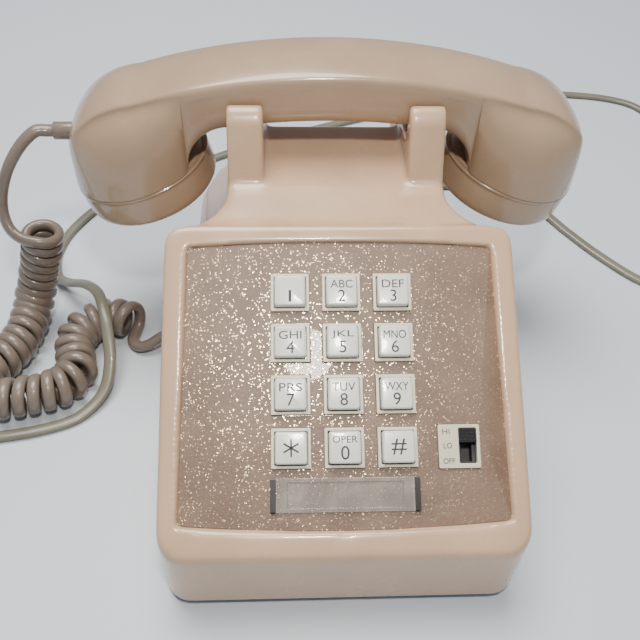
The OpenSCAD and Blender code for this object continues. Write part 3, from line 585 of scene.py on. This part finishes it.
def seen_from(place, points):
    """Points in another frame's own coordinates."""
    back = np.array(place.inverted())
    return points @ back[:3, :3].T + back[:3, 3]


# %% Remesh and relax
def baked(blank):
    """The mesh that an object's modifiers give; the object itself goes."""
    ready = blank.evaluated_get(bpy.context.evaluated_depsgraph_get())
    mesh = bpy.data.meshes.new_from_object(ready)
    bpy.data.objects.remove(blank)
    return mesh


def remeshed(node, voxel_mm):
    blank = bpy.data.objects.new("blank", nodes[node].data.copy())
    bpy.context.scene.collection.objects.link(blank)
    blank.modifiers.new("weld", "WELD").merge_threshold = 1e-6
    blank.modifiers.new("remesh", "REMESH").voxel_size = voxel_mm * MM
    return baked(blank)


def relaxed(mesh, rounds):
    """Moves each point towards its neighbours' middle, rounds(points) times."""
    points = np.array([v.co for v in mesh.vertices]) / MM
    first, second = np.array([e.vertices[:] for e in mesh.edges]).T
    size = len(points)
    count = np.bincount(first, minlength=size) + np.bincount(second, minlength=size)
    wanted = rounds(points)
    for turn in range(int(wanted.max())):
        total = np.stack(
            [
                np.bincount(first, points[second, k], size)
                + np.bincount(second, points[first, k], size)
                for k in range(3)
            ],
            1,
        )
        pull = 0.5 * (wanted > turn)[:, None]
        points = points + pull * (total / count[:, None] - points)
    mesh.vertices.foreach_set("co", (points * MM).ravel())
    mesh.update()


# %% The shell
def shell_rounds(points):
    x, y, z = np.abs(points[:, 0]), points[:, 1], points[:, 2]
    across, up, out = seen_from(FACE, points).T
    seat = (np.abs(across) < 60.5) & (up > -55) & (up < 51.5) & (np.abs(out) < 12)
    arm = (np.abs(x - 36.25) < 8.5) & (z > 99) & (y > 24)
    rounds = np.full(len(points), 20)
    rounds[arm] = 7
    rounds[seat | (z < 7)] = 3
    return rounds


shell_mesh = remeshed("housing", 0.9)
relaxed(shell_mesh, shell_rounds)
shell_mesh.materials.clear()
shell_mesh.materials.append(shell.material)
shell_mesh.shade_smooth()
shell_piece = bpy.data.objects.new("shell", shell_mesh)
bpy.context.scene.collection.objects.link(shell_piece)
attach(shell_piece, "base")
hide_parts("housing")
print("shell:", len(shell_mesh.polygons), "faces")

# %% [markdown]
# ## The handset
# The handle is a loft: cross-sections stand along its length, and each one is
# half a profile that is mirrored. The top follows one long arch and then drops
# at the ends along a superellipse. The underside follows the same arch, turns
# down in a quarter of an ellipse, and meets the slanted seam of the screw cap.

# %% The handle's own lines
HANDLE_W, HANDLE_T, ARCH, CAP_R = 35.0, 24.0, 270.0, 30.5
TILT = math.radians(15)
CUP_D, CUP_Z = HALF_LEN - CAP_R * math.cos(TILT), -27.0
GRIP_END = CUP_D - CAP_R * math.cos(TILT)
ARCH_START, ARCH_END = 0.787 * GRIP_END, GRIP_END + 7
SHOULDER, END_D, END_Z, POWER, CROWN = 80.0, 70.0, -27.5, 2.3, 2.2
TIP = HALF_LEN + 0.6


def arch_drop(d):
    return ARCH - math.sqrt(ARCH * ARCH - d * d)


def tip_curve(d):
    return max(0, 1 - ((d - END_D) / (TIP - END_D)) ** POWER) ** (1 / POWER)


def top_line(d):
    if d < SHOULDER:
        return HANDLE_T - arch_drop(d)
    rise = (HANDLE_T - arch_drop(SHOULDER) - END_Z) / tip_curve(SHOULDER)
    return END_Z + rise * tip_curve(d)


def seam_line(d):
    return CUP_Z - (d - CUP_D) * math.tan(TILT)


def turn_down(d):
    """1 where the underside still runs along the arch, 0 where it is upright."""
    t = min(1, max(0, (d - ARCH_START) / (ARCH_END - ARCH_START)))
    return math.sqrt(1 - t * t)


def under_line(d):
    if d < ARCH_START:
        return -arch_drop(d)
    if d < ARCH_END:
        start = -arch_drop(ARCH_START)
        return start + (seam_line(ARCH_END) - start) * (1 - turn_down(d))
    return seam_line(d)


def cup_half(d):
    return math.sqrt(max(4, CAP_R**2 - ((d - CUP_D) / math.cos(TILT)) ** 2))


# %% One cross-section, and the loft
def handle_ring(x):
    d, half = abs(x), HANDLE_W / 2
    low = half if d < ARCH_END else cup_half(d)
    low = max(low, half) if d < CUP_D else low
    high = half if d < CUP_D else min(half, 0.9 * cup_half(d))
    top, under = top_line(d) - CROWN, under_line(d)
    soft = 0.8 + 5.7 * turn_down(d)
    side_low = under + min(soft, (top - under) / 3)
    side_top = top - min(3, (top - under) / 3)
    edge = min(3, 0.5 * high)
    belly = np.array([low, side_top - 0.3 * (side_top - side_low)])
    outline = [[low - soft, under], [low - 0.3 * soft, under + 0.3 * soft]]
    for s in np.linspace(0, 1, 5):
        start, stop = np.array([low, side_low]), np.array([high, side_top])
        outline.append((1 - s) ** 2 * start + 2 * s * (1 - s) * belly + s * s * stop)
    outline += [[high - 0.3 * edge, top - 0.7], [high - edge, top + 0.4]]
    outline += [[0.45 * high, top + 0.75 * CROWN], [0, top + CROWN]]
    half_ring = spline([[y, z] for y, z in outline], 4)
    right_side = np.column_stack([np.full(len(half_ring), x), half_ring])
    left_side = right_side[-2::-1] * [1, -1, 1]
    return np.concatenate([right_side, left_side])


quarter_turn = np.linspace(0, math.pi / 2, 24)
far_stations = np.concatenate(
    [
        np.linspace(0, ARCH_START, 14)[:-1],
        ARCH_START + (ARCH_END - ARCH_START) * np.sin(quarter_turn[:-1:2]),
        np.linspace(ARCH_END, SHOULDER, 12)[:-1],
        SHOULDER + (HALF_LEN - 0.7 - SHOULDER) * np.sin(quarter_turn),
    ]
)
rings = [handle_ring(d) for d in far_stations]
for shrink, reach in ((0.86, 0.35), (0.55, 0.6)):
    middle_of_ring = rings[-1].mean(0) * [0, 1, 1]
    ring = handle_ring(far_stations[-1])
    ring = middle_of_ring + (ring - middle_of_ring) * [1, shrink, shrink]
    rings.append(ring + [reach, 0, 0])
mirrored = [ring * [-1, 1, 1] for ring in rings[:0:-1]]
handle = loft([*mirrored, *rings])


# %% Turned parts: the boss under each cap, and the cap
def turned_part(profile, count=96):
    """A closed (radius, height) outline turned round the Z axis."""
    angles = np.arange(count) * 2 * math.pi / count
    outline = np.array(profile, float)
    rings = [
        np.column_stack(
            [outline[:, 0] * math.cos(a), outline[:, 0] * math.sin(a), outline[:, 1]]
        )
        for a in angles
    ]
    return loft([*rings, rings[0]], ends=False)


def moved(shape, place):
    points, faces = shape
    matrix = np.array(place)
    return points @ matrix[:3, :3].T + matrix[:3, 3], faces


HANDSET = Matrix.Translation((HANDSET_SHIFT, CRADLE_Y, GRIP_Z))


def cap_place(side):
    turn = Matrix.Rotation(-side * (math.pi - TILT), 4, "Y")
    return HANDSET @ Matrix.Translation((side * CUP_D, 0, CUP_Z)) @ turn


BOSS = [(3, -2.5), (20, -2.5), (20, 0.5), (27.3, 0.5), (27.8, 0.9)]
BOSS += [(27.8, 3.4), (3, 3.4)]
bosses = [moved(turned_part(BOSS), cap_place(side)) for side in (-1, 1)]
handle_piece = dressed(
    "handle",
    joined(moved(handle, HANDSET), *bosses),
    handset_shell,
    "handset",
    ["handset_handle"],
    sharp=50,
)
print("handle:", len(handle_piece.data.polygons), "faces")

# %% [markdown]
# ## The screw caps
# A cap is turned: a small bead stands round its open edge just below the dark
# seam, the side is nearly straight, and the face is a little hollow. The holes
# are bored with a boolean, because a hole that is only painted would vanish from
# the exported mesh.

# %% Turn and bore the caps
CAP = [(27.95, 0.5), (29.3, 0.3), (30.1, 0.3), (30.48, 0.7), (30.5, 1.2), (30.3, 1.7)]
CAP += [(30.0, 1.95), (29.95, 2.4), (30.1, 3.2), (30.3, 6.0), (30.3, 10.5)]
CAP += [(30.1, 12.4), (29.6, 13.8), (28.6, 15.0), (27.2, 15.75), (25.6, 16.0)]
CAP += [(24.2, 15.85), (22, 15.3), (12, 14.8), (0.5, 14.7), (0.5, 13.5), (27.95, 13.5)]


def bored(piece, holes, radius):
    """Cuts upright holes through a piece; holes are (x, y) in millimetres."""
    round_hole = [(0.01, 5), (radius, 5), (radius, 20), (0.01, 20)]
    drills = [
        moved(turned_part(round_hole, 20), Matrix.Translation((x, y, 0)))
        for x, y in holes
    ]
    drill = solid("drill", joined(*drills), clip_black)
    cut = piece.modifiers.new("holes", "BOOLEAN")
    cut.operation, cut.solver, cut.object = "DIFFERENCE", "EXACT", drill
    ready = piece.evaluated_get(bpy.context.evaluated_depsgraph_get())
    mesh = bpy.data.meshes.new_from_object(ready)
    piece.modifiers.clear()
    piece.data = mesh
    bpy.data.objects.remove(drill)


for name, side, rows in (("transmitter_cap", -1, 2), ("receiver_cap", 1, 1)):
    holes = [(0, 0)]
    for row in range(1, rows + 1):
        for k in range(6 * row):
            a = math.pi / 3 * k / row
            holes.append((6 * row * math.cos(a), 6 * row * math.sin(a)))
    cap = solid(name + "_turned", turned_part(CAP, 128), handset_shell, sharp=35)
    bored(cap, holes, 1.2)
    cap.data.transform(Matrix.Scale(1 / MM, 4))
    cap.data.transform(cap_place(side))
    cap.data.transform(Matrix.Scale(MM, 4))
    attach(cap, "handset")
    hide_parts(name)
    print(name, len(holes), "holes,", len(cap.data.polygons), "faces")

# %% [markdown]
# ## The keys
# A key is one moulding: a square cap with softened edges, a flange that stops it
# in the bezel, and a stem. It is a loft of rounded squares, stacked from the stem
# up. The characters are raised by a few hundredths of a millimetre, as a second
# shot of dark plastic would be, and they ride on their own key.

# %% Rounded squares, stacked
PITCH_X, KEY_TOP, CAP_HALF = 19.05, 4.2, 5.7
STEM_LOW, FLANGE_LOW, FLANGE_TOP = -12.3, -4.9, -3.7


def rounded_square(half, radius, z, count=5):
    corners = []
    for quarter_no in range(4):
        middle_angle = math.pi / 4 + quarter_no * math.pi / 2
        diagonal = np.sign([math.cos(middle_angle), math.sin(middle_angle)])
        centre = (half - radius) * diagonal
        for a in np.linspace(-math.pi / 4, math.pi / 4, count) + middle_angle:
            ray = np.array([math.cos(a), math.sin(a)])
            corners.append([*(centre + radius * ray), z])
    return corners


KEY_RINGS = [(2.0, 0.3, STEM_LOW), (2.0, 0.3, FLANGE_LOW), (6.6, 0.5, FLANGE_LOW)]
KEY_RINGS += [(6.6, 0.5, FLANGE_TOP), (CAP_HALF, 0.9, FLANGE_TOP), (5.66, 0.9, 3.4)]
KEY_RINGS += [(5.6, 0.95, 3.75), (5.45, 0.95, 4.0), (5.25, 0.9, 4.14)]
KEY_RINGS += [(4.95, 0.8, KEY_TOP)]
key_shape = loft([rounded_square(*ring) for ring in KEY_RINGS])


# %% Characters as meshes
def lettering(text, height, width=None):
    """Points and faces of a word, centred, with a given height and width."""
    curve = bpy.data.curves.new("lettering", "FONT")
    curve.body, curve.extrude = text, 0.05
    word = bpy.data.objects.new("lettering", curve)
    bpy.context.scene.collection.objects.link(word)
    mesh = baked(word)
    points = np.array([v.co for v in mesh.vertices])
    faces = [tuple(face.vertices) for face in mesh.polygons]
    low, high = points.min(0), points.max(0)
    size = high - low
    points = (points - (low + high) / 2) / size
    grow = height / size[1]
    return points * [width or size[0] * grow, height, 0.09], faces


def star(radius, half_width, arms=6):
    """A thin star of straight bars."""
    bars = []
    for k in range(arms):
        bar = np.array([(0, -half_width), (radius, -half_width), (radius, half_width)])
        bar = np.array([*bar, (0, half_width)])
        a = math.pi / 2 + 2 * math.pi * k / arms
        turn = np.array([[math.cos(a), math.sin(a)], [-math.sin(a), math.cos(a)]])
        rings = [np.column_stack([bar @ turn, np.full(4, z)]) for z in (-0.045, 0.045)]
        bars.append(loft(rings))
    return joined(*bars)


def shifted(shape, x, y):
    return shape[0] + [x, y, 0], shape[1]


# %% Twelve keys with their characters
LETTERS = ["", "ABC", "DEF", "GHI", "JKL", "MNO", "PRS", "TUV", "WXY"]
for k in range(12):
    name = [*"123456789", "star", "0", "pound"][k]
    x, y = (k % 3 - 1) * PITCH_X, (1.5 - k // 3) * PITCH_X
    body = "key_" + name
    dressed(body + "_cap", key_shape, key_white, body, [body], on_face(x, y))
    if name == "star":
        marks = star(3.1, 0.3)
    elif name == "pound":
        marks = lettering("#", 5.6, 5.4)
    elif name == "0":
        word = shifted(lettering("OPER", 2.4, 8.9), 0, 2.8)
        marks = joined(word, shifted(lettering("0", 4.8), 0, -1.9))
    else:
        marks = shifted(lettering(name, 4.4, 1.0 if name == "1" else None), 0, -2.1)
        if LETTERS[k]:
            word = lettering(LETTERS[k], 3.0, 8.2 if LETTERS[k] != "WXY" else 8.6)
            marks = joined(marks, shifted(word, 0, 2.4))
    place = on_face(x, y, KEY_TOP + 0.01)
    dressed(body + "_marks", marks, ink, body, place=place)
print("keys: 12, each", len(key_shape[1]), "faces")

# %% [markdown]
# ## The volume switch
# A cream plate carries a black knob in a slot, with three short words beside it.
# The knob's top is knurled: a grid in which every other point is raised, so each
# bump is a small pyramid that catches the light.

# %% The knob and its words
VOLUME_X, VOLUME_Y = 41.275, -28.575
KNOB_W, KNOB_L, KNOB_X, KNOB_Y, KNOB_TRAVEL = 6.2, 5.0, 3.1, 0.2, 7.3


def knurled_block(width, length, low, high, columns, rows):
    """A block whose top is a grid of small pyramids."""
    xs, ys = np.linspace(-0.5, 0.5, columns), np.linspace(-0.5, 0.5, rows)
    points = [
        (x * width, y * length, high + 0.28 * (i % 2) * (j % 2))
        for j, y in enumerate(ys)
        for i, x in enumerate(xs)
    ]
    corner = [j * columns + i for j in range(rows - 1) for i in range(columns - 1)]
    faces = [(k, k + 1, k + columns + 1, k + columns) for k in corner]
    rim = [*range(columns), *range(2 * columns - 1, rows * columns, columns)]
    rim += [*range(rows * columns - 2, (rows - 1) * columns - 1, -1)]
    rim += [*range((rows - 2) * columns, 0, -columns)]
    start = len(points)
    points += [(points[k][0], points[k][1], low) for k in rim]
    for n, k in enumerate(rim):
        m = (n + 1) % len(rim)
        faces.append((k, start + n, start + m, rim[m]))
    faces.append(tuple(start + n for n in range(len(rim) - 1, -1, -1)))
    return np.array(points, float), faces


knob_top = knurled_block(KNOB_W, KNOB_L, -2.0, 1.5, 25, 21)
pin = knurled_block(3, 3, -5.6, -1.9, 3, 3)
knob_at = on_face(VOLUME_X + KNOB_X, VOLUME_Y + KNOB_Y + KNOB_TRAVEL / 2)
dressed(
    "volume_knob_knurled",
    joined(knob_top, pin),
    knob_black,
    "volume_knob",
    ["volume_knob"],
    knob_at,
    sharp=20,
)
WORDS = (("HI", 2.6, -4.6, 5.2), ("LO", 3.0, -4.2, 0.2), ("OFF", 4.2, -3.9, -5.2))
for word, wide, x, y in WORDS:
    dressed(
        "volume_word_" + word,
        lettering(word, 1.9, wide),
        ink,
        "base",
        place=on_face(VOLUME_X + x, VOLUME_Y + y, 0.82),
    )

# %% [markdown]
# ## The faceplate and the card window
# The faceplate is painted with a fine metallic sparkle over an orange-peel
# texture. The sparkle is a field of tiny random cells: the few cells whose random
# value is highest become metal flakes. The window is clear, so it only needs a
# low alpha and a high gloss.

# %% Finishes of the face
faceplate = Finish("faceplate", (0.2, 0.122, 0.078), 0.42, Coat_Weight=0.15)
peel = faceplate.noise(1.1, 3)
pick = faceplate.node(
    "ShaderNodeSeparateColor", {}, {0: faceplate.cells(0.42, "Color")}
)
flake = pick > 0.94
cloudy = faceplate.between(faceplate.noise(14, 4), 0.3, 0.7)
paint = faceplate.blend(cloudy, (0.172, 0.104, 0.066, 1), (0.228, 0.142, 0.092, 1))
paint = faceplate.blend(peel * 0.35, paint, (0.13, 0.078, 0.05, 1))
faceplate.set("Base Color", faceplate.blend(flake, paint, (0.85, 0.68, 0.42, 1)))
faceplate.set("Metallic", flake * 0.9)
faceplate.set("Roughness", 0.44 - flake * 0.2)
peel_bump = faceplate.bump(peel, 0.12)
faceplate.set("Normal", faceplate.bump(pick, 0.03, 0.6, peel_bump))

window = Finish("window", (0.62, 0.57, 0.5), 0.09, Alpha=0.32, Coat_Weight=0.5)
smears = window.noise(9, 4)
window.set("Roughness", window.between(smears, 0.4, 0.8) * 0.2 + 0.07)
window.set("Alpha", window.between(smears, 0.35, 0.8) * 0.2 + 0.28)

plug = Finish("plug", (0.66, 0.64, 0.56), 0.15, Alpha=0.85)
plug.set("Roughness", plug.noise(2, 3) * 0.15 + 0.1)

# %% [markdown]
# ## Dressing the solid parts
# Most of the inner parts are already the right shape. Each one takes the finish
# that its material slot in the record names, and a narrow bevel, so its edges
# catch the light as real ones do. A bevel needs a weld first, because a solid
# model's mesh has separate corners on every face.

# %% A finish for every slot
FINISHES = {
    "shell": shell,
    "handset_shell": handset_shell,
    "faceplate": faceplate,
    "key": key_white,
    "trim": trim,
    "window": window,
    "window_clip": clip_black,
    "knob": knob_black,
    "steel": steel,
    "pin_steel": pin_steel,
    "bell": bell_brass,
    "winding": winding,
    "rubber": rubber,
    "dark_plastic": dark_plastic,
    "board": board,
    "plunger": nylon,
    "contacts": contact_brass,
    "wire": wire,
    "curly_cord": curly_vinyl,
    "line_cord": line_vinyl,
    "plug": plug,
}
BEVELS = {"keypad_bezel": 0.28, "volume_bezel": 0.4, "card_clips": 0.3}
BEVELS.update({"card_window": 0.25, "faceplate": 0.3, "line_cord_plug": 0.5})
BEVELS.update({"feet": 0.5, "plunger_left": 0.8, "plunger_right": 0.8})
BEVELS.update({"base_cord_gland": 0.5, "line_cord_gland": 0.5, "base_plate": 0.3})
for part in frame["record"]["subparts"]:
    node = nodes[part["node"]]
    if node.hide_render:
        continue
    finish = FINISHES[part["material_slot"]]
    node.data.materials.clear()
    node.data.materials.append(finish.material)
    node.modifiers.new("weld", "WELD").merge_threshold = 1e-6
    bevel = node.modifiers.new("bevel", "BEVEL")
    bevel.width = BEVELS.get(part["node"], 0.2) * MM
    bevel.segments = 2
    bevel.angle_limit = math.radians(50)

# %% [markdown]
# ## Floor and light
# The floor is plain, pale and a little cool. Most of the light falls from a broad
# lamp above and behind, so the top faces are bright and the front wall is in
# shade. A small lamp near the camera puts a soft highlight on each end of the
# handset.

# %% The floor
pale = Finish("floor", (0.60, 0.645, 0.69), 0.5)
pale.set("Roughness", pale.noise(60, 2) * 0.1 + 0.45)
floor_mesh = bpy.data.meshes.new("floor")
floor_mesh.from_pydata(
    [(-3, -2, 0), (3, -2, 0), (3, 4, 0), (-3, 4, 0)], [], [(0, 1, 2, 3)]
)
floor_mesh.materials.append(pale.material)
floor = bpy.data.objects.new("floor", floor_mesh)
bpy.context.scene.collection.objects.link(floor)
floor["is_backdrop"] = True

# %% The lamps
world = bpy.data.worlds.new("studio")
world.use_nodes = True
sky = world.node_tree.nodes["Background"]
sky.inputs["Color"].default_value = (0.78, 0.86, 1.0, 1)
sky.inputs["Strength"].default_value = 0.36
bpy.context.scene.world = world


def lamp(name, at, size, watts, colour):
    """A round area lamp that points at the telephone."""
    data = bpy.data.lights.new(name, "AREA")
    data.shape, data.size, data.energy, data.color = "DISK", size, watts, colour
    made = bpy.data.objects.new(name, data)
    aim = Vector((0, 0.02, 0.05)) - Vector(at)
    turn = aim.to_track_quat("-Z", "Y").to_matrix().to_4x4()
    made.matrix_world = Matrix.Translation(at) @ turn
    bpy.context.scene.collection.objects.link(made)


lamp("overhead", (-0.15, 0.35, 1.25), 0.8, 22, (1.0, 0.97, 0.93))
lamp("near_camera", (0.0, -0.2, 0.5), 0.05, 1.6, (1.0, 0.95, 0.88))
print("lamps:", len(bpy.data.lights))

# %% Measure the sizes and finish
def save_sizes():
    now = [list(corner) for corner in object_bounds()]
    return now


print("visual box:", save_sizes())
